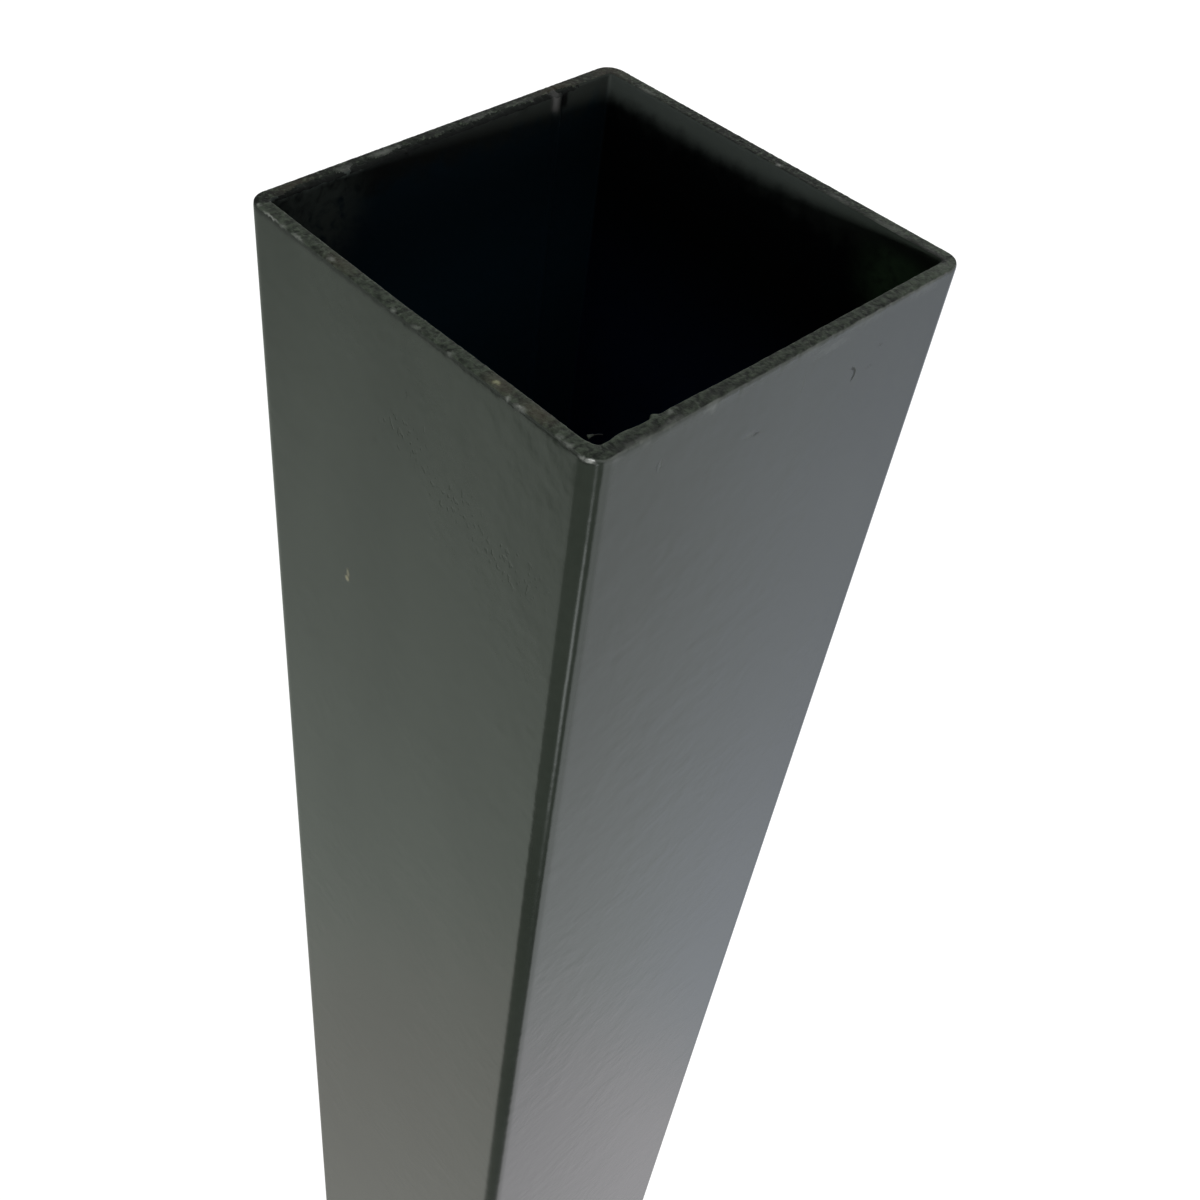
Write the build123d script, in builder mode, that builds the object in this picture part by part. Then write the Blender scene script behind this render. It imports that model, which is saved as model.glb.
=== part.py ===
from build123d import *
import os

# Square steel tube: strip folded cold to a square, seam-welded along one wall, sawn to
# length. It stands on one sawn end. The origin is the middle of that end and +Z runs up
# the tube. The inside weld bead is on the +Y wall. Sizes are in millimetres.

# The section
side = 60.0  # outside, across the flats
wall = 2.0  # thickness of the strip
inside_bend = 0.5  # radius inside each folded corner

# The weld bead left standing inside the tube
bead_width = 1.4
bead_height = 0.5
bead_from_corner = 11.6  # middle of the bead to the outside of the +X wall

# The cut
length = 1000.0
edge_break = 0.3  # radius that deburring leaves round the outside of each sawn end

# Worked out from the sizes above
outside_bend = inside_bend + wall
bore = side - 2 * wall
bead_x = side / 2 - bead_from_corner
bead_y = bore / 2  # the inside face that the bead stands on


with BuildPart() as square_tube:
    with BuildSketch() as section:
        RectangleRounded(side, side, outside_bend)
        RectangleRounded(bore, bore, inside_bend, mode=Mode.SUBTRACT)

        # The bead is a low crown, rooted halfway into the wall that it joins.
        with BuildLine() as crown:
            toe = (bead_x - bead_width / 2, bead_y)
            far_toe = (bead_x + bead_width / 2, bead_y)
            root = (bead_x - bead_width / 2, bead_y + wall / 2)
            far_root = (bead_x + bead_width / 2, bead_y + wall / 2)
            ThreePointArc(toe, (bead_x, bead_y - bead_height), far_toe)
            Polyline(far_toe, far_root, root, toe)
        make_face()
    extrude(amount=length)

    sawn_ends = square_tube.faces().filter_by(Axis.Z)
    outside_edges = [edge for end in sawn_ends for edge in end.outer_wire().edges()]
    fillet(outside_edges, radius=edge_break)

square_tube.part.label = "square_tube"

os.makedirs("parts", exist_ok=True)
export_step(square_tube.part, "parts/square_tube.step")
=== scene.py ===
import math

import bmesh
import bpy
from mathutils import Matrix, Vector, noise


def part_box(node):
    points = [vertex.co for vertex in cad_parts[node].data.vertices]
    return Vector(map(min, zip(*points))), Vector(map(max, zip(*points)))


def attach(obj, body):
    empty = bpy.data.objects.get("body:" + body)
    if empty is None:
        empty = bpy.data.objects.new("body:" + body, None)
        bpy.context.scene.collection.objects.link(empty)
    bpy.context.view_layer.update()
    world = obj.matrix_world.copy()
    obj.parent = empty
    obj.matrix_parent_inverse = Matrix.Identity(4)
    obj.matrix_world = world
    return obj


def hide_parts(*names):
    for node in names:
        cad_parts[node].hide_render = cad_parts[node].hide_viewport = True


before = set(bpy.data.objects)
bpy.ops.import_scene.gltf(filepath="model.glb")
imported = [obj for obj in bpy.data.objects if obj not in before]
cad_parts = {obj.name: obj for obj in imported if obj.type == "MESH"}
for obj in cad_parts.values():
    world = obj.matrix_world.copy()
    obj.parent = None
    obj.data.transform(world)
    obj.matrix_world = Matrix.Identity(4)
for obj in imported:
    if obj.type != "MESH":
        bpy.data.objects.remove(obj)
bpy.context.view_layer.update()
low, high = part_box("square_tube")
mm = 0.001


class Wire:  # one output socket of a node tree, so that sums can be written as sums
    def __init__(self, tree, socket=None):
        self.tree = tree
        self.socket = socket

    def node(self, kind, settings, inputs, output=0):
        made = self.tree.nodes.new("ShaderNode" + kind)
        for name, value in settings.items():
            setattr(made, name, value)
        for name, value in inputs.items():
            if isinstance(value, Wire):
                self.tree.links.new(value.socket, made.inputs[name])
            else:
                made.inputs[name].default_value = value
        return Wire(self.tree, made.outputs[output])

    def maths(self, operation, first, second=0.0):
        return self.node("Math", {"operation": operation}, {0: first, 1: second})

    def __add__(self, other):
        return self.maths("ADD", self, other)

    def __sub__(self, other):
        return self.maths("SUBTRACT", self, other)

    def __rsub__(self, other):
        return self.maths("SUBTRACT", other, self)

    def __mul__(self, other):
        return self.maths("MULTIPLY", self, other)

    def __truediv__(self, other):
        return self.maths("DIVIDE", self, other)

    def __abs__(self):
        return self.maths("ABSOLUTE", self)

    __radd__ = __add__
    __rmul__ = __mul__

    def most(self, other):
        return self.maths("MAXIMUM", self, other)

    def least(self, other):
        return self.maths("MINIMUM", self, other)

    def rise(self, start, end):  # from 0 at start to 1 at end, whichever of them is the lower
        inputs = {"Value": self, "From Min": start, "From Max": end}
        return self.node("MapRange", {"interpolation_type": "SMOOTHSTEP"}, inputs)

    def vector(self, operation, other=(0, 0, 0), output=0):
        return self.node("VectorMath", {"operation": operation}, {0: self, 1: other}, output)

    def stretch(self, *scale):
        return self.vector("MULTIPLY", scale)

    def length(self):
        return self.vector("LENGTH", output=1)

    def axis(self, index):
        return self.node("SeparateXYZ", {}, {0: self}, index)

    def grain(self, scale, detail=2.0):
        return self.node("TexNoise", {}, {"Vector": self, "Scale": scale, "Detail": detail})

    def wobble(self, scale, amount):  # pushes the place about, so that marks look ragged
        push = self.node("TexNoise", {}, {"Vector": self, "Scale": scale, "Detail": 1.0}, 1)
        push = push.vector("SUBTRACT", (0.5, 0.5, 0.5)).stretch(amount, amount, amount)
        return self.vector("ADD", push)

    def spots(self, marks, top):  # marks are x, y, depth below the top end, reach and strength
        found = None
        for x, y, below, reach, strength in marks:
            offset = self.vector("SUBTRACT", (x, y, top - below))
            away = offset.stretch(*[1 / r for r in reach]).length()
            mark = away.rise(1.5, 0) * strength  # gone at one and a half times the reach
            found = found.most(mark) if found else mark
        return found

    def tint(self, under, over):  # lays one colour over another, by this wire
        return self.node("Mix", {"data_type": "RGBA"}, {0: self, 6: under, 7: over}, 2)

    def bump(self, distance):
        return self.node("Bump", {}, {"Height": self, "Distance": distance})

    def into(self, socket):
        self.tree.links.new(self.socket, socket)


def colour(*parts):  # the parts are red, green and blue from 0 to 255, as seen
    seen = [part / 255 for part in parts]
    return [c / 12.92 if c < 0.04045 else ((c + 0.055) / 1.055) ** 2.4 for c in seen] + [1]


def newMaterial(name, specular=0.5):
    material = bpy.data.materials.new(name)
    material.use_nodes = True
    shader = material.node_tree.nodes["Principled BSDF"]
    shader.inputs["IOR"].default_value = 1.5
    shader.inputs["Specular IOR Level"].default_value = specular
    coordinates = Wire(material.node_tree).node("TexCoord", {}, {}, 3)
    return material, shader.inputs, coordinates.stretch(1 / mm, 1 / mm, 1 / mm)


# The tube's shape. Ring depths and places along the rim are millimetres.
tube = {
    "side": high.x - low.x,
    "length": high.z - low.z,
    "wall": 2.0 * mm,
    "outsideBend": 2.5 * mm,
    "bendSegments": 12,
    "columnPitch": 0.5 * mm,
    "ringDepths": (1.2, 1.8, 2.4, 3.2, 4.2, 5.5, 7, 9, 12, 16, 24, 40, 80, 160, 320),
    "rimDepth": 1.25 * mm,  # the columns are half as wide down to here
    "endZone": 2.4 * mm,  # wear, with the painted glint, sheen and shadow line, reaches this far down the outside from the ends
}
bead = {
    "x": 18.4 * mm,
    "width": 1.4 * mm,
    "height": 0.5 * mm,
    "slices": 8,
    "unevenness": 0.3,
    "waveLength": 2.5 * mm,
}
cut = {
    "edgeBreak": 0.6 * mm,
    "edgeSegments": 6,
    "boreBreak": 0.4 * mm,
    "boreSegments": 3,
    "cutsAcross": 6,
    "dressing": {  # how far the edge of each wall is broken, in over the end and down the wall
        (-1, 0): (0.42, 1.5),
        (0, -1): (0.55, 1.15),
        (1, 0): (0.12, 0.12),
        (0, 1): (0.12, 0.12),
    },
    "rubbedDown": {  # a blunter part of the -Y edge
        "x": -21.5,
        "reach": 7.5,
        "over": 0.4,
        "down": 0.25,
    },
    "sawMarks": 0.1 * mm,
    "chatter": 0.16 * mm,  # unevenness of the broken outer edge
    "burr": 0.05 * mm,
    "tongues": (  # lips of burr that reach into the bore: x, y, reach and spread
        (-28, -28, 0.5, 2.2),
        (-24.6, -28, 0.4, 3.2),
        (-18.0, -28, 0.24, 13.0),
        (-19.85, -28, 0.6, 0.75),
        (-28, -17, 0.16, 20.0),
        (-28, 22, 0.2, 20.0),
        (-28, 26.5, 0.12, 5.0),
        (-16.5, 28, 0.3, 0.9),
        (-7.6, 28, 0.45, 0.6),
        (12.0, 28, 0.25, 1.2),
    ),
    "torn": {  # inner half of the seam wall's end, with x, reach and breadth of what is left whole
        "depth": 0.3 * mm,
        "inset": 0.88 * mm,
        "ragged": 0.45 * mm,
        "slope": 0.4 * mm,
        "whole": (
            (-28.0, 4.0, 1.4),
            (-16.5, 2.0, 0.9),
            (-10.3, 2.2, 0.7),
            (-2.5, 3.0, 0.7),
            (5.0, 2.5, 0.4),
            (14.0, 3.5, 0.7),
            (26.0, 7.0, 2.0),
        ),
    },
    "curl": {  # swarf that hangs in the bore by the front corner
        "length": 1.55 * mm,
        "width": 0.6 * mm,
        "thickness": 0.2 * mm,
        "place": (-26.6, -26.4, 0.38),  # x, y and depth below the top end
        "turn": -29,
        "cuts": 7,
        "narrowing": 0.85,
        "thinning": 0.6,
        "lift": 0.25 * mm,
        "waver": 0.1 * mm,
    },
}


def edgesOfEnds(bm, insideBore):
    found = []
    for edge in bm.edges:
        walls = [f for f in edge.link_faces if abs(f.normal.z) < 0.5]
        if len(walls) != 1 or len(edge.link_faces) != 2:
            continue
        middle = walls[0].calc_center_median()
        facesBore = walls[0].normal.x * middle.x + walls[0].normal.y * middle.y < 0
        if facesBore == insideBore:
            found.append(edge)
    return found


def cutAcross(bm, point, normal):
    everything = bm.verts[:] + bm.edges[:] + bm.faces[:]
    bmesh.ops.bisect_plane(bm, geom=everything, plane_co=point, plane_no=normal)


def foldStrip(bm):
    bmesh.ops.create_cube(bm, size=1)
    bmesh.ops.scale(bm, vec=(tube["side"], tube["side"], tube["length"]), verts=bm.verts)
    bmesh.ops.translate(bm, vec=(0, 0, tube["length"] / 2), verts=bm.verts)
    uprights = [e for e in bm.edges if abs(e.verts[0].co.z - e.verts[1].co.z) > mm]
    bmesh.ops.bevel(
        bm, geom=uprights, offset=tube["outsideBend"], segments=tube["bendSegments"],
        affect="EDGES", profile=0.5, material=-1,
    )
    bm.normal_update()
    caps = [f for f in bm.faces if abs(f.normal.z) > 0.5]
    bmesh.ops.delete(bm, geom=caps, context="FACES_ONLY")
    bmesh.ops.solidify(bm, geom=bm.faces[:], thickness=tube["wall"])
    bm.normal_update()


def breakEdges(bm):
    for insideBore, kind in ((False, "edge"), (True, "bore")):
        bmesh.ops.bevel(
            bm, geom=edgesOfEnds(bm, insideBore), offset=cut[kind + "Break"],
            segments=cut[kind + "Segments"], affect="EDGES", profile=0.5, material=-1,
        )
        bm.normal_update()
    across = [e for e in bm.edges if all(abs(f.normal.z) > 0.99 for f in e.link_faces)]
    bmesh.ops.subdivide_edges(bm, edges=across, cuts=cut["cutsAcross"], use_grid_fill=True)


def divideWalls(bm):
    flat = tube["side"] / 2 - tube["outsideBend"]
    count = round(2 * flat / tube["columnPitch"])
    places = [-flat + 2 * flat * i / count for i in range(1, count)]
    parts = [i / bead["slices"] - 0.5 for i in range(bead["slices"] + 1)]
    sliced = [bead["x"] + bead["width"] * part for part in parts]
    for x in places + sliced:
        cutAcross(bm, (x, 0, 0), (1, 0, 0))
    for y in places:
        cutAcross(bm, (0, y, 0), (0, 1, 0))
    for depth in tube["ringDepths"]:
        cutAcross(bm, (0, 0, depth * mm), (0, 0, 1))
        cutAcross(bm, (0, 0, tube["length"] - depth * mm), (0, 0, 1))


def refineRim(bm):
    rim = tube["length"] - tube["rimDepth"]
    coarse = 0.8 * tube["columnPitch"]
    wide = []
    for edge in bm.edges:
        span = edge.verts[0].co - edge.verts[1].co
        level = abs(span.z) < 0.1 * mm
        if level and span.length > coarse and min(v.co.z for v in edge.verts) > rim:
            wide.append(edge)
    bmesh.ops.subdivide_edges(bm, edges=wide, cuts=1, use_grid_fill=True)


def raiseBead(bm):
    face = tube["side"] / 2 - tube["wall"]
    radius = (bead["width"] ** 2 / 4 + bead["height"] ** 2) / (2 * bead["height"])
    for vert in bm.verts:
        offset = vert.co.x - bead["x"]
        if abs(offset) < bead["width"] / 2 and abs(vert.co.y - face) < 1.1 * cut["boreBreak"]:
            crown = math.sqrt(radius ** 2 - offset ** 2) - radius + bead["height"]
            wave = noise.noise(Vector((0, 7, vert.co.z / bead["waveLength"])))
            vert.co.y -= crown * (1 - bead["unevenness"] * (0.5 + 0.5 * wave))


def outwards(place):  # the way out through the wall, as long as the bends' centres are passed by
    bendCentre = tube["side"] / 2 - tube["outsideBend"]
    past = [math.copysign(max(abs(c) - bendCentre, 0), c) for c in place.xy]
    return Vector((*past, 0))


def placeInEnd(co):  # at the top or not, depth from that end, inset in the wall and the way out
    atTop = co.z > tube["length"] / 2
    depth = tube["length"] - co.z if atTop else co.z
    out = outwards(co)
    inset = tube["outsideBend"] - out.length
    return atTop, depth, inset, out.normalized()


def shapeBreaks(bm):
    limit = 1.01 * cut["edgeBreak"]
    for vert in bm.verts:
        atTop, depth, inset, out = placeInEnd(vert.co)
        if depth > limit or inset > limit:
            continue
        over, down = 0, 0
        for wall, (overPart, downPart) in cut["dressing"].items():
            share = max(out.dot(Vector((*wall, 0))), 0) ** 2
            over += share * overPart
            down += share * downPart
        alongMinusYEdge = cut["rubbedDown"]
        near = max(1 - abs(vert.co.x / mm - alongMinusYEdge["x"]) / alongMinusYEdge["reach"], 0)
        share = min(1.5 * (near * max(-out.y, 0) ** 2), 1)
        over += share * alongMinusYEdge["over"]
        down += share * alongMinusYEdge["down"]
        vert.co += out * inset * (1 - over)
        vert.co.z += depth * (1 - down) * (1 if atTop else -1)


def tornPart(place, inset):  # 0 on the whole part of the seam wall's end and 1 on the torn part
    torn = cut["torn"]
    edge = torn["inset"] - torn["ragged"] * noise.noise(place * 1.2)
    for x, reach, breadth in torn["whole"]:
        edge += breadth * mm * max(1 - abs(place.x - x) / reach, 0)
    return min(max((inset - edge) / torn["slope"], 0), 1)


def roughenEnds(bm):
    reach = 1.6 * cut["edgeBreak"]
    for vert in bm.verts:
        atTop, depth, inset, out = placeInEnd(vert.co)
        if depth > reach:
            continue
        place = vert.co / mm
        nearEdge = 1 - depth / reach
        marks = 0.4 + 0.3 * noise.noise(place * 0.8) + 0.4 * noise.noise(place * 2.1)
        sink = cut["sawMarks"] * marks
        nearWall = max(-out.x, -out.y, 0.1)  # the far walls' edges are left nearly even
        if inset < cut["edgeBreak"]:
            chatter = 0.5 * noise.noise(place * 0.7) + 0.6 * noise.noise(place * 1.7)
            vert.co -= out * cut["chatter"] * max(chatter, 0) * nearEdge * nearWall
            sink += cut["chatter"] * max(noise.noise(place * 1.1), 0) * nearWall
        if inset > tube["wall"] - 1.1 * cut["boreBreak"]:
            burr = cut["burr"] * noise.noise(place * 1.3)
            vert.co -= out * burr * nearEdge
            for x, y, far, spread in cut["tongues"]:
                away = math.hypot(place.x - x, place.y - y) / spread
                if atTop and away < 1:
                    inwards = -outwards(Vector((x, y, 0)) * mm).normalized()
                    vert.co += inwards * far * mm * (1 - away) ** 2 * (1 + 2 * away) * nearEdge
        if atTop and out.y > 0.9:
            uneven = 0.7 + 0.9 * noise.noise(place * 1.9)
            sink += cut["torn"]["depth"] * tornPart(place, inset) * uneven
        sink = max(sink, 0) * nearEdge  # never above the end that the solid has
        vert.co.z += -sink if atTop else sink


def leaveCurl(bm):
    curl = cut["curl"]
    x, y, below = curl["place"]
    size = (curl["length"], curl["width"], curl["thickness"])
    strand = bmesh.new()
    bmesh.ops.create_cube(strand, size=1)
    bmesh.ops.scale(strand, vec=size, verts=strand.verts)
    long = [e for e in strand.edges if abs(e.verts[0].co.x - e.verts[1].co.x) > mm]
    bmesh.ops.subdivide_edges(strand, edges=long, cuts=curl["cuts"])
    for vert in strand.verts:
        along = vert.co.x / curl["length"] + 0.5
        vert.co.y *= 1 - curl["narrowing"] * min(2.2 * along, 1)
        vert.co.z *= 1 - curl["thinning"] * along
        vert.co.z += curl["lift"] * math.sin(2.5 * along)
        vert.co.y += curl["waver"] * noise.noise(Vector((along * 3, 3, 0)))
    for face in strand.faces:
        head = face.calc_center_median().x < -0.12 * curl["length"]
        face.material_index = slots["sawnEnd" if head else "tornLip"]
        face.smooth = True
    turn = Matrix.Rotation(math.radians(curl["turn"]), 3, "Z")
    bmesh.ops.rotate(strand, cent=(0, 0, 0), matrix=turn, verts=strand.verts)
    place = (x * mm, y * mm, tube["length"] - below * mm)
    bmesh.ops.translate(strand, vec=place, verts=strand.verts)
    strandMesh = bpy.data.meshes.new("swarfCurl")
    strand.to_mesh(strandMesh)
    strand.free()
    bm.from_mesh(strandMesh)
    bpy.data.meshes.remove(strandMesh)


slots = {"satinPaint": 0, "wornEdgeWithPaintedLight": 1, "sawnEnd": 2, "boreSteel": 3, "tornLip": 4}


def finishFor(face):
    middle = face.calc_center_median()
    atTop, depth, inset, out = placeInEnd(middle)
    if atTop and out.y > 0.9 and depth < cut["boreBreak"] and tornPart(middle / mm, inset) > 0.4:
        return "tornLip"
    if abs(face.normal.z) > 0.9:
        return "sawnEnd"
    if face.normal.x * middle.x + face.normal.y * middle.y < 0:
        return "boreSteel"
    return "wornEdgeWithPaintedLight" if depth < tube["endZone"] else "satinPaint"


def sortMesh(bm):  # some bmesh operators leave edges and faces in another order each run
    bm.verts.index_update()
    for items in (bm.edges, bm.faces):
        inOrder = sorted(items, key=lambda item: sorted(vert.index for vert in item.verts))
        for index, item in enumerate(inOrder):
            item.index = index
        items.sort()


def buildTube():
    bm = bmesh.new()
    foldStrip(bm)
    breakEdges(bm)
    divideWalls(bm)
    refineRim(bm)
    bm.normal_update()
    for face in bm.faces:
        face.smooth = True
        face.material_index = slots[finishFor(face)]
    raiseBead(bm)
    shapeBreaks(bm)
    roughenEnds(bm)
    leaveCurl(bm)
    sortMesh(bm)
    mesh = bpy.data.meshes.new("squareTube")
    bm.to_mesh(mesh)
    volume = round(bm.calc_volume(signed=True) / mm ** 3)
    print("tube mesh:", len(bm.faces), "faces,", volume, "cubic mm")
    bm.free()
    piece = bpy.data.objects.new("squareTube", mesh)
    bpy.context.scene.collection.objects.link(piece)
    weighted = piece.modifiers.new("flatFaces", "WEIGHTED_NORMAL")
    weighted.keep_sharp = True
    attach(piece, "root")
    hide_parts("square_tube")
    return piece


def fromNearestEnd(place):  # millimetres along the tube
    height = place.axis(2)
    return height.least(tube["length"] / mm - height)


def insetInWall(place):  # millimetres from the outside of the wall, round the bends too
    bend = tube["outsideBend"] / mm
    bendCentre = tube["side"] / 2 / mm - bend
    centre = (bendCentre, bendCentre, 0)
    past = place.stretch(1, 1, 0).vector("ABSOLUTE").vector("SUBTRACT", centre)
    return bend - past.vector("MAXIMUM").length()


# Marks are x, y, depth below the top end, reach in x, y and z, and strength. All but the
# strength are millimetres.
wearAndGlint = {
    "grey": colour(150, 154, 148),
    "yellow": colour(150, 152, 118),
    "tan": colour(150, 146, 118),
    "flecks": (
        (-29.5, 27.8, 0.1, (0.3, 0.4, 0.25), 0.4),  # along the outer edge of the -X wall
        (-29.85, 24.9, 0.05, (0.2, 1.7, 0.2), 0.6),
        (-29.8, 22.6, 0.1, (0.3, 0.8, 0.25), 0.25),
        (-29.8, 19.6, 0.1, (0.3, 1.1, 0.25), 0.35),
        (-29.4, 13.7, 0.0, (0.4, 0.6, 0.35), 0.25),
        (-29.8, 2.0, 0.1, (0.35, 0.5, 0.35), 0.25),
        (-29.7, -1.9, 0.1, (0.3, 0.8, 0.25), 0.17),
        (-29.8, -7.6, 0.1, (0.35, 0.45, 0.35), 0.25),
        (-29.8, -16.8, 0.15, (0.35, 0.4, 0.35), 0.35),
        (-29.8, -18.7, 0.15, (0.35, 0.7, 0.4), 0.4),
        (-29.7, -24.5, 0.1, (0.35, 0.5, 0.3), 0.2),
        (-29.8, -26.0, 0.1, (0.35, 0.9, 0.3), 0.25),
        (-18.1, -28.5, 0.0, (0.5, 0.35, 0.4), 0.2),  # over the -Y wall
        (-24.0, -29.7, 0.1, (2.2, 0.4, 0.4), 0.14),
        (-19.0, -29.7, 0.1, (1.8, 0.4, 0.4), 0.14),
        (28.4, -19.7, 0.0, (1.1, 3.0, 0.8), 0.1),  # over the +X wall
        (28.6, -11.8, 0.0, (0.7, 2.4, 0.5), 0.08),
        (28.6, -2.1, 0.0, (0.35, 0.45, 0.5), 0.35),
        (28.6, 21.5, 0.0, (0.5, 1.6, 0.5), 0.12),
        (-16.2, 28.4, 0.1, (1.8, 0.9, 0.5), 0.12),  # over the +Y wall
        (-10.3, 29.0, 0.0, (1.9, 0.6, 0.5), 0.2),
        (-7.9, 28.7, 0.0, (0.4, 0.9, 0.5), 0.2),
        (5.5, 29.0, 0.0, (2.8, 0.5, 0.5), 0.1),
        (12.0, 29.0, 0.0, (3.0, 0.5, 0.5), 0.05),
        (27.5, -29.0, 0.0, (2.4, 0.8, 0.5), 0.07),
        (29.0, -26.0, 0.0, (0.8, 2.5, 0.5), 0.05),
    ),
    # the front corner is worn and painted light, which is also the painted glint of the low light
    # there
    "glintOnWornCorner": (
        (-29.65, -28.8, 0.45, (0.72, 0.6, 0.26), 0.86),
        (-29.95, -28.0, 0.38, (0.4, 0.55, 0.27), 0.5),
    ),
    "brassy": ((-29.1, -14.2, 0.0, (0.4, 0.4, 0.5), 0.5),),
}


def layWearAndGlint(base, place):  # bare metal that shows at the cut and its edges, and the painted glint on the front corner
    top = tube["length"] / mm
    ragged = place.wobble(1.7, 0.7)
    bareAndGlint = ragged.spots(wearAndGlint["flecks"] + wearAndGlint["glintOnWornCorner"], top)
    brassy = ragged.spots(wearAndGlint["brassy"], top)
    base = bareAndGlint.tint(base, wearAndGlint["grey"])
    return brassy.tint(base, wearAndGlint["yellow"]), bareAndGlint.most(brassy)


# The satin paint outside.
paint = {
    "dark": colour(41, 47, 40),
    "light": colour(54, 60, 53),
    # dark tone for soot along the edge and for painted shade: the shadow line under the -X edge
    # and the shaded sides of dents
    "sootAndShade": colour(14, 15, 14),
    "roughness": 0.15,
    "peel": 0.012,
    "dimples": 0.06,
    "waves": 0.03,
    "pits": 0.03,
    "hookDepth": 0.06,
    "scratchDepth": 0.03,
    "bruiseDepth": 0.02,
    "tanHeight": 0.06,
    "wornHeight": 0.08,
    "sootGrains": 0.35,
    "paintedShadowLine": 0.5,
    "scratchAndHighlight": colour(105, 109, 104),
    "tan": (
        (-30, 11.45, 48.8, (0.6, 0.45, 0.5), 1.0),
        (-30, 11.2, 47.7, (0.6, 0.35, 0.9), 0.5),
    ),
    # The light marks are scratches and painted highlights on the lit sides of small dents; the
    # bruises are dents with painted shade on their dark sides.
    "scratchesAndHighlights": (
        (2.3, -30, 5.4, (0.16, 0.6, 2.0), 0.3),
        (-5.6, -30, 8.4, (0.9, 0.6, 0.4), 0.6),
        (-20.1, -30, 5.2, (0.2, 0.6, 0.8), 0.7),
        (13.1, -30, 9.0, (0.3, 0.6, 0.25), 0.3),
        (-30, -4.0, 12.7, (0.6, 0.12, 0.6), 0.4),
    ),
    "bruisesAndShade": (
        (-4.4, -30, 8.7, (0.6, 0.6, 0.25), 0.9),
        (-20.6, -30, 5.0, (0.2, 0.6, 0.8), 0.5),
        (16.3, -30, 5.8, (0.5, 0.6, 0.18), 0.5),
        (15.2, -30, 8.4, (1.0, 0.6, 0.16), 0.35),
        (-30, -0.8, 9.8, (0.6, 0.2, 0.7), 0.4),
        (-30, 5.0, 20.0, (0.6, 0.5, 0.5), 0.3),
    ),
    "alongMinusYEdge": (  # painted sheen: lighter places just under the edge of the -Y wall
        (-27.0, -30, 0.5, (1.2, 0.9, 0.7), 0.12),
        (-23.0, -30, 0.5, (1.2, 0.9, 0.7), 0.12),
        (-13.2, -30, 0.6, (1.2, 0.9, 0.9), 0.28),
        (2.5, -30, 0.5, (1.8, 0.9, 0.7), 0.12),
        (12.0, -30, 0.5, (4.5, 0.9, 0.7), 0.11),
        (6.4, -30, 1.8, (3.5, 0.9, 0.6), 0.12),
        (22.5, -30, 0.7, (3.0, 0.9, 0.8), 0.16),
        (0.0, -30, 0.9, (40, 0.9, 0.6), 0.04),
    ),
    "pitted": (
        (-30, 0.0, 16.0, (2, 4.5, 3.0), 1.0),
        (-30, -9.0, 19.5, (2, 6.0, 3.0), 1.0),
        (-30, -19.0, 22.0, (2, 6.0, 3.0), 1.0),
    ),
    "hook": {  # a scratch like an open ring, which faces the way it is drawn
        "place": (11.28, -30, 8.14),
        "radius": 1.1,
        "half": 0.2,
        "faces": (0.96, 0, 0.28),
    },
}


def hookMark(place, top):
    hook = paint["hook"]
    x, y, below = hook["place"]
    offset = place.wobble(1.2, 0.15).vector("SUBTRACT", (x, y, top - below))
    ring = offset.stretch(1, 0.3, 1).length()
    mark = abs(ring - hook["radius"]).rise(1.4 * hook["half"], 0.3 * hook["half"])
    return mark * offset.vector("DOT_PRODUCT", hook["faces"], 1).rise(0.35, 0.75)


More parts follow.
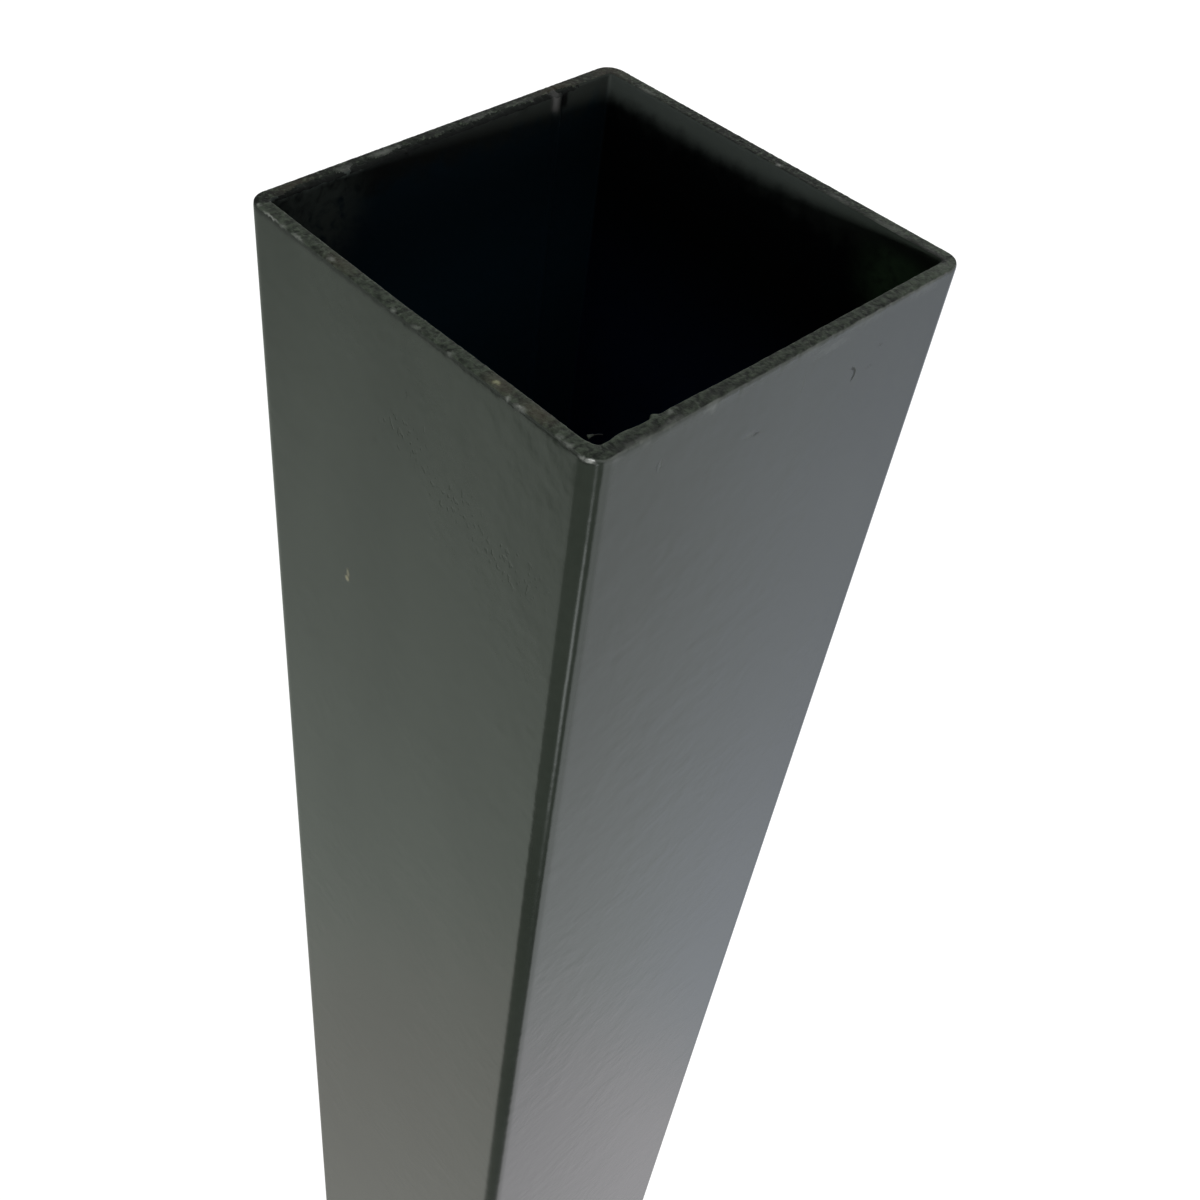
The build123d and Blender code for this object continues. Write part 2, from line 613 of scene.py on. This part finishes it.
def paintedWall(name, nearCut):  # true for the band by the cut, where bare metal shows and the painted glint, sheen and shadow line lie
    material, sockets, place = newMaterial(name)
    top = tube["length"] / mm
    depth = fromNearestEnd(place)
    clouds = place.stretch(1, 1, 0.4).grain(0.05, 3)
    speckle = place.grain(0.7, 3)
    base = (clouds.rise(0.35, 0.65) * 0.45 + speckle * 0.55).tint(paint["dark"], paint["light"])
    rough = paint["roughness"] + 0.06 * clouds
    patches = place.grain(0.09, 2).rise(0.4, 0.6)
    waves = place.stretch(1, 1, 0.3).grain(0.06, 1)
    dimples = place.grain(0.35, 1) * paint["dimples"] * (0.4 + 0.6 * patches)
    surface = place.grain(1.1) * paint["peel"] + dimples + waves * paint["waves"]
    if nearCut:
        edge = depth.rise(cut["edgeBreak"] / mm + 0.3, 0.2)
        ragged = depth + 0.8 * place.grain(1.2) - 0.4
        # soot grains along the broken edge, and a painted shadow line just under the edge of the
        # -X wall
        shadowLine = place.axis(0).rise(-29, -29.3) * ragged.rise(1.0, 0.5) * ragged.rise(0.05, 0.35)
        sootAndShade = edge * place.grain(1.4, 3).rise(0.45, 0.6) * paint["sootGrains"]
        base = sootAndShade.most(shadowLine * paint["paintedShadowLine"]).tint(base, paint["sootAndShade"])
        # painted sheen just under the edge of the -Y wall
        base = place.wobble(1.0, 1.6).spots(paint["alongMinusYEdge"], top).tint(base, wearAndGlint["grey"])
        base, bareAndGlint = layWearAndGlint(base, place)
        rough = rough + 0.3 * bareAndGlint
        surface = surface + edge * speckle * paint["wornHeight"]
    else:
        ragged = place.wobble(1.5, 0.5)
        scratchesAndHighlights = ragged.spots(paint["scratchesAndHighlights"], top)
        bruisesAndShade = ragged.spots(paint["bruisesAndShade"], top)
        tan = place.wobble(2.5, 0.2).spots(paint["tan"], top)
        hook = hookMark(place, top)
        pits = place.stretch(1, 1, 0.7).grain(1.3, 1).rise(0.58, 0.68)
        pits = pits * place.spots(paint["pitted"], top)
        # the hook and the painted shade of the dents darken the paint; scratches and painted
        # highlights lighten it
        dark = (hook * 0.6).most(bruisesAndShade * 0.5)
        base = (scratchesAndHighlights * 0.5).tint(base, paint["scratchAndHighlight"])
        base = tan.tint(dark.tint(base, paint["sootAndShade"]), wearAndGlint["tan"])
        rough = rough + 0.15 * scratchesAndHighlights + 0.6 * dark + 0.35 * tan
        surface = surface - paint["hookDepth"] * hook - paint["scratchDepth"] * scratchesAndHighlights
        surface = surface - paint["bruiseDepth"] * bruisesAndShade + paint["tanHeight"] * tan
        surface = surface - paint["pits"] * pits
    base.into(sockets["Base Color"])
    rough.into(sockets["Roughness"])
    surface.bump(1.0 * mm).into(sockets["Normal"])
    return material


sawn = {
    "dark": colour(9, 14, 9),
    "light": colour(59, 67, 56),
    "shaded": colour(16, 18, 16),
    "brown": colour(58, 52, 42),
    "roughness": 0.5,
    "dull": 0.33,
    "speckles": 0.95,
    "grainHeight": 0.14,
    "fineHeight": 0.06,
    "bareHeight": 0.03,
    "blotchDepth": 0.05,
    "blotches": (
        (-25.0, -29.2, 0.0, (2.2, 0.6, 0.6), 0.8),
        (-21.2, -29.4, 0.0, (1.3, 0.5, 0.6), 0.8),
        (-18.4, -29.3, 0.0, (1.3, 0.5, 0.6), 0.9),
        (-11.5, -29.2, 0.0, (2.8, 0.7, 0.6), 0.6),
    ),
    "stains": (
        (-29, -20.5, 0.0, (1.3, 2.6, 0.6), 0.5),
        (-29, -14.7, 0.0, (1.3, 2.4, 0.6), 0.5),
        (-29, 12.5, 0.0, (1.3, 3.0, 0.6), 0.35),
        (19.0, 29, 0.0, (4.0, 1.3, 0.6), 0.4),
        (-23.5, 29, 0.0, (3.0, 1.3, 0.6), 0.4),
        (28, 28, 0.0, (3.0, 3.0, 0.6), 0.4),
    ),
}


def sawnEnd():
    material, sockets, place = newMaterial("sawnEnd")
    top = tube["length"] / mm
    inset = insetInWall(place)
    grain = place.grain(1.3, 3)
    fine = place.grain(3.0, 2)
    x = place.axis(0)
    y = place.axis(1)
    # The middle of the +X wall, the +Y wall and most of the -Y wall are darker than the rest.
    dull = x.rise(27.5, 28.2) * y.rise(-20, -9) * y.rise(20, 11) * sawn["dull"]
    dull = dull + y.rise(27.6, 28.2) * sawn["dull"]
    dull = dull + y.rise(-27.7, -28.3) * (x.rise(22, 16) * 0.22 - 0.08) + 0.03
    far = x.rise(27.6, 28.2).most(y.rise(27.6, 28.2))
    speckles = far * (place.grain(2.0, 3).rise(0.52, 0.66) * sawn["speckles"] - 0.17)
    mix = grain.rise(0.3, 0.7) * 0.7 + fine.rise(0.3, 0.7) * 0.3 + speckles - dull
    base = mix.tint(sawn["dark"], sawn["light"])
    ragged = place.wobble(1.1, 1.0)
    base = ragged.spots(sawn["stains"], top).tint(base, sawn["brown"])
    boreSide = x.rise(27.4, 27.8) * (inset + 0.7 * grain - 0.35).rise(0.8, 1.6)
    boreSide = boreSide * (0.55 + 0.4 * y.rise(-21, -25))
    blotches = ragged.spots(sawn["blotches"], top) * (0.5 + fine)
    base = boreSide.most(blotches).tint(base, sawn["shaded"])
    base, bareAndGlint = layWearAndGlint(base, place)
    base.into(sockets["Base Color"])
    (sawn["roughness"] + 0.15 * grain - 0.15 * bareAndGlint).into(sockets["Roughness"])
    surface = grain * sawn["grainHeight"] + fine * sawn["fineHeight"]
    surface = surface + bareAndGlint * sawn["bareHeight"] - blotches * sawn["blotchDepth"]
    surface.bump(1.0 * mm).into(sockets["Normal"])
    return material


bore = {
    # Near the ends the band holds painted shade: darker towards the -Y wall and on the seam wall,
    # most towards -X.
    "nearEnds": colour(53, 58, 55),
    "nearRight": colour(31, 37, 31),
    "seamLeft": colour(24, 26, 26),
    "seamRight": colour(47, 51, 48),
    "inside": colour(12, 14, 15),
    "insideSeam": colour(22, 40, 50),
    "deep": colour(34, 50, 80),
    "deepSeam": colour(40, 70, 86),
    # painted highlight on the bead's lit flank and painted shadow beside it
    "weld": colour(76, 76, 75),
    "beadShadow": colour(10, 11, 11),
    "overspray": colour(84, 92, 88),
    "oversprayGreen": colour(62, 84, 60),
    "torn": colour(40, 44, 40),
    "tornInShade": colour(20, 22, 21),
    "roughness": 0.5,
    "specular": 0.12,
    "tornSpecular": 0.1,
    "bandEnd": (9, 4.6),  # depths at which the paint inside is gone and starts to go; the fall with depth is painted shade as well
    "seamDeepens": (8, 30),
    "deepens": (14, 45),
    "leftPatch": ((-21.5, 28, 3.0, (7, 3, 9), 1.3),),
    "rightPatch": ((28, -23.5, 6.0, (3, 6, 6), 1.3),),
}


def onSeamWall(place):  # 1 on the +Y wall and 0 on the others
    return (place.axis(1) - abs(place.axis(0))).rise(-0.4, 0.4)


def layBeadLightAndShade(base, place):  # the bead's lit flank is painted light near the end, a painted highlight, with a painted shadow beside its other flank
    fromBead = place.axis(0) - bead["x"] / mm + 0.5 * place.grain(0.8) - 0.25
    short = (fromNearestEnd(place) + 0.8 * place.grain(1.5)).rise(3.4, 2.4) * onSeamWall(place)
    weld = abs(fromBead + 0.5).rise(0.95, 0.1) * short
    beadShadow = abs(fromBead - 1.2).rise(0.9, 0.3) * short
    return weld.tint(beadShadow.tint(base, bore["beadShadow"]), bore["weld"])


def boreWall():
    material, sockets, place = newMaterial("boreSteel", bore["specular"])
    top = tube["length"] / mm
    depth = fromNearestEnd(place)
    stain = place.grain(0.35, 3)
    # the paint band ends with depth, with painted shade deeper in
    paintBandAndShade = (depth + 6 * stain).rise(*bore["bandEnd"])
    seam = onSeamWall(place)
    deeper = depth.rise(*bore["seamDeepens"])
    unlit = depth.rise(*bore["deepens"]).tint(bore["inside"], bore["deep"])
    inside = seam.tint(unlit, deeper.tint(bore["insideSeam"], bore["deepSeam"]))
    # painted shade: the band is darker towards the -Y wall, and on the seam wall darker still,
    # most towards -X
    lit = place.axis(1).rise(-26, -5).tint(bore["nearRight"], bore["nearEnds"])
    seamLit = place.axis(0).rise(-17, 26).tint(bore["seamLeft"], bore["seamRight"])
    base = paintBandAndShade.tint(inside, seam.tint(lit, seamLit))
    base = (depth.rise(0.6, 0.1) * 0.3).tint(base, bore["inside"])
    blotches = place.wobble(0.5, 2).grain(0.6, 3).rise(0.2, 0.6)
    leftPatch = place.spots(bore["leftPatch"], top)
    rightPatch = place.spots(bore["rightPatch"], top) * depth.rise(0.8, 3.5)
    base = (leftPatch.least(1) * blotches).tint(base, bore["overspray"])
    right = rightPatch.least(1) * (0.45 + 0.55 * blotches)
    base = right.tint(base, bore["oversprayGreen"])
    layBeadLightAndShade(base, place).into(sockets["Base Color"])
    (bore["roughness"] + 0.1 * stain).into(sockets["Roughness"])
    (stain * 0.1 + place.grain(2.5) * 0.02).bump(1.0 * mm).into(sockets["Normal"])
    return material


def tornLip():
    material, sockets, place = newMaterial("tornLip", bore["tornSpecular"])
    coarse = place.grain(1.4, 3)
    fine = place.grain(4.5, 2)
    inwards = insetInWall(place) + fromNearestEnd(place) + 1.2 * coarse - 0.6
    # the lip darkens inwards: painted shade over the torn steel
    base = inwards.rise(0.7, 2.2).tint(bore["torn"], bore["tornInShade"])
    # painted highlight on the bead's lit flank, as in the bore
    fromBead = abs(place.axis(0) - bead["x"] / mm + 0.5)
    weld = fromBead.rise(1.0, 0.2) * 0.5 * place.axis(1).rise(27, 28)
    base = weld.tint(base, bore["weld"])
    base.into(sockets["Base Color"])
    (bore["roughness"] + 0.2 * coarse).into(sockets["Roughness"])
    (coarse * 0.15 + fine * 0.05).bump(1.0 * mm).into(sockets["Normal"])
    return material


# The stage: a pale floor, the light and the camera.
stage = {
    "floorSize": 14.0,
    "floorColour": colour(188, 188, 188),
    "floorGlow": 0.6,
    "skyLight": 0.12,
}
# What the gloss of the tube sees of the floor and the room. Each loss is its size and the
# distances in metres from the tube at which it starts and is full.
mirrored = {
    "dimSide": 0.47,
    "dimNearShade": 0.19,
    "dimFarLosses": ((0.13, 1.1, 1.7), (0.15, 1.7, 3.5)),
    "dimNearLosses": ((0.08, 0.55, 0.42), (0.05, 0.4, 0.33)),
    "dimTint": (0.92, 1.0, 0.91, 1),
    "dimTintNear": (1.01, 1.0, 0.93, 1),
    "brightSide": 0.57,
    "brightMiddle": 0.38,
    "brightFar": 0.07,
    "brightLowRight": 0.08,
    "brightFlank": 0.22,
    "brightCornerLoss": 0.07,
    "brightNearLosses": ((0.05, 0.4, 0.33),),
    "brightMidLosses": ((0.03, 0.66, 0.56),),
    "brightTintLeft": (0.885, 0.93, 0.94, 1),
    "brightTintRight": (0.875, 0.93, 1.03, 1),
    "brightTintNear": (0.95, 0.93, 0.97, 1),
    "roomDim": 0.28,
    "roomBright": 1.1,
    "shade": 0.07,
    "softEdge": 0.03,
    "softerNear": 0.055,
    "softerFar": 0.04,
    "streak": 3.5,
    "streakHalf": 0.17,
}
suns = {
    "lowKey": {"towards": (-0.868, -0.495, 0.0435), "level": 0.6, "angle": 2.8, "glossy": True},
    "overhead": {"towards": (0.05, 0.1, 1.0), "level": 0.7, "angle": 14.0, "glossy": False},
    "backFill": {"towards": (0.7, 0.65, 0.3), "level": 0.4, "angle": 30.0, "glossy": False},
}
shot = {
    "place": (-110.047 * mm, -99.935 * mm, 90.75 * mm),
    "azimuth": -44.213,
    "elevation": 46.201,
    "roll": 4.678,
    "lens": 43.067,
    "shift": 0.0871,
}


def lessened(level, away, losses):
    for loss, start, end in losses:
        level = level - loss * away.rise(start, end)
    return level


def dimHalf(x, away):  # the floor on the -X side, which the -X wall mirrors
    level = mirrored["dimSide"] + mirrored["dimNearShade"] * (-1 * x / away).rise(0.5, 0.85)
    level = lessened(level, away, mirrored["dimFarLosses"])
    return level * lessened(1, away, mirrored["dimNearLosses"])


def brightHalf(x, y, away):  # the floor on the -Y side, which the -Y wall mirrors
    middle = ((0.5 * x - 0.866 * y) / away).rise(0.75, 0.9)
    level = mirrored["brightSide"] + mirrored["brightMiddle"] * middle
    level = level + mirrored["brightFar"] * away.rise(0.95, 1.2)
    lowRight = mirrored["brightLowRight"] * away.rise(0.5, 0.38)
    level = level + lowRight * (x / away).rise(0.8, 0.88)
    flank = mirrored["brightFlank"] * (-1 * y / away).rise(0.9, 0.99)
    level = level + flank * away.rise(0.5, 0.7)
    corner = mirrored["brightCornerLoss"] * (x / away).rise(0.85, 0.89)
    level = level * lessened(1 - corner * away.rise(0.9, 1.1), away, mirrored["brightNearLosses"])
    return level * lessened(1, away, mirrored["brightMidLosses"])


def shadeOnFloor(x, y, away):  # the dark wedge that the front corner mirrors
    soft = mirrored["softEdge"] + mirrored["softerNear"] * away.rise(0.6, 0.33)
    soft = soft + mirrored["softerFar"] * away.rise(0.8, 1.1)
    left = 1.33 * x + y + 0.485 - 0.08 * away.rise(0.47, 0.37)
    right = x + 0.06 - 0.08 * away.rise(0.68, 0.5)
    shade = left.rise(2 * soft, -2 * soft) * right.rise(soft, -1 * soft)
    return shade * away.rise(2.6, 1.8)


def streakOnFloor(x, y, away):  # the light line within the wedge
    streak = abs(0.839 * x - 0.545 * y - 0.02).rise(mirrored["streakHalf"], 0)
    return streak * away.rise(0.7, 0.9) * away.rise(1.35, 0.85)


def mirroredFloor(place):
    x = place.axis(0)
    y = place.axis(1)
    away = place.length().most(0.01)
    side = (x - y).rise(-0.6, 0.6)
    level = dimHalf(x, away) * (1 - side) + brightHalf(x, y, away) * side
    shade = shadeOnFloor(x, y, away)
    strength = level * (1 - shade) + mirrored["shade"] * shade
    strength = strength + mirrored["streak"] * streakOnFloor(x, y, away) * shade
    dimTint = away.rise(0.6, 0.45).tint(mirrored["dimTint"], mirrored["dimTintNear"])
    across = (x / away).rise(0.74, 0.9)
    brightTint = across.tint(mirrored["brightTintLeft"], mirrored["brightTintRight"])
    brightTint = away.rise(0.54, 0.4).tint(brightTint, mirrored["brightTintNear"])
    return strength, side.tint(dimTint, brightTint)


def makeFloor():
    bm = bmesh.new()
    bmesh.ops.create_grid(bm, x_segments=1, y_segments=1, size=stage["floorSize"] / 2)
    mesh = bpy.data.meshes.new("floor")
    bm.to_mesh(mesh)
    bm.free()
    floor = bpy.data.objects.new("floor", mesh)
    bpy.context.scene.collection.objects.link(floor)
    material = bpy.data.materials.new("paleFloor")
    material.use_nodes = True
    tree = material.node_tree
    tree.nodes.clear()
    start = Wire(tree)
    place = start.node("TexCoord", {}, {}, 3)
    seen = start.node("LightPath", {}, {}, 0)
    glossy = start.node("LightPath", {}, {}, 3)
    lit = start.node("BsdfDiffuse", {}, {"Color": stage["floorColour"]})
    glow = seen * stage["floorGlow"]
    glow = start.node("Emission", {}, {"Color": (1, 1, 1, 1), "Strength": glow})
    both = start.node("AddShader", {}, {0: lit, 1: glow})
    strength, tint = mirroredFloor(place)
    pool = start.node("Emission", {}, {"Color": tint, "Strength": strength})
    surface = start.node("MixShader", {}, {0: glossy, 1: both, 2: pool})
    output = tree.nodes.new("ShaderNodeOutputMaterial")
    surface.into(output.inputs["Surface"])
    mesh.materials.append(material)


def makeWorld():
    world = bpy.data.worlds.new("studio")
    bpy.context.scene.world = world
    world.use_nodes = True
    tree = world.node_tree
    start = Wire(tree)
    seen = start.node("LightPath", {}, {}, 0)
    glossy = start.node("LightPath", {}, {}, 3)
    direction = start.node("TexCoord", {}, {}, 0)
    horizon = direction.axis(2).rise(0.5, 0.1)
    side = (direction.axis(0) - direction.axis(1)).rise(-0.9, 0.9)
    level = mirrored["roomDim"] + side * (mirrored["roomBright"] - mirrored["roomDim"])
    reflected = level * (0.3 + 0.7 * horizon)
    strength = seen + glossy * reflected + (1 - seen.most(glossy)) * stage["skyLight"]
    background = tree.nodes["Background"]
    background.inputs["Color"].default_value = (1, 1, 1, 1)
    strength.into(background.inputs["Strength"])


def makeSuns():
    for name, sun in suns.items():
        light = bpy.data.lights.new(name, "SUN")
        light.energy = sun["level"] * math.pi
        light.angle = math.radians(sun["angle"])
        lamp = bpy.data.objects.new(name, light)
        lamp.visible_glossy = sun["glossy"]
        lamp.rotation_mode = "QUATERNION"
        lamp.rotation_quaternion = Vector(sun["towards"]).to_track_quat("Z", "Y")
        bpy.context.scene.collection.objects.link(lamp)


def makeCamera():
    lens = bpy.data.cameras.new("camera")
    lens.lens = shot["lens"]
    lens.shift_x = shot["shift"]
    lens.clip_start = 0.01
    camera = bpy.data.objects.new("camera", lens)
    top = Vector((0, 0, tube["length"]))
    turn = Matrix.Rotation(math.radians(shot["azimuth"]), 4, "Z")
    tilt = Matrix.Rotation(math.radians(90 - shot["elevation"]), 4, "X")
    roll = Matrix.Rotation(math.radians(shot["roll"]), 4, "Z")
    camera.matrix_world = Matrix.Translation(top + Vector(shot["place"])) @ turn @ tilt @ roll
    bpy.context.scene.collection.objects.link(camera)
    bpy.context.scene.camera = camera


tubePiece = buildTube()
finishes = (  # in the order of the slots
    paintedWall("satinPaint", False),
    paintedWall("wornEdgeWithPaintedLight", True),
    sawnEnd(),
    boreWall(),
    tornLip(),
)
for finish in finishes:
    tubePiece.data.materials.append(finish)
print("finishes are on")
makeFloor()
makeWorld()
makeSuns()
makeCamera()
bpy.context.scene.view_settings.view_transform = "Standard"
print("stage is set")
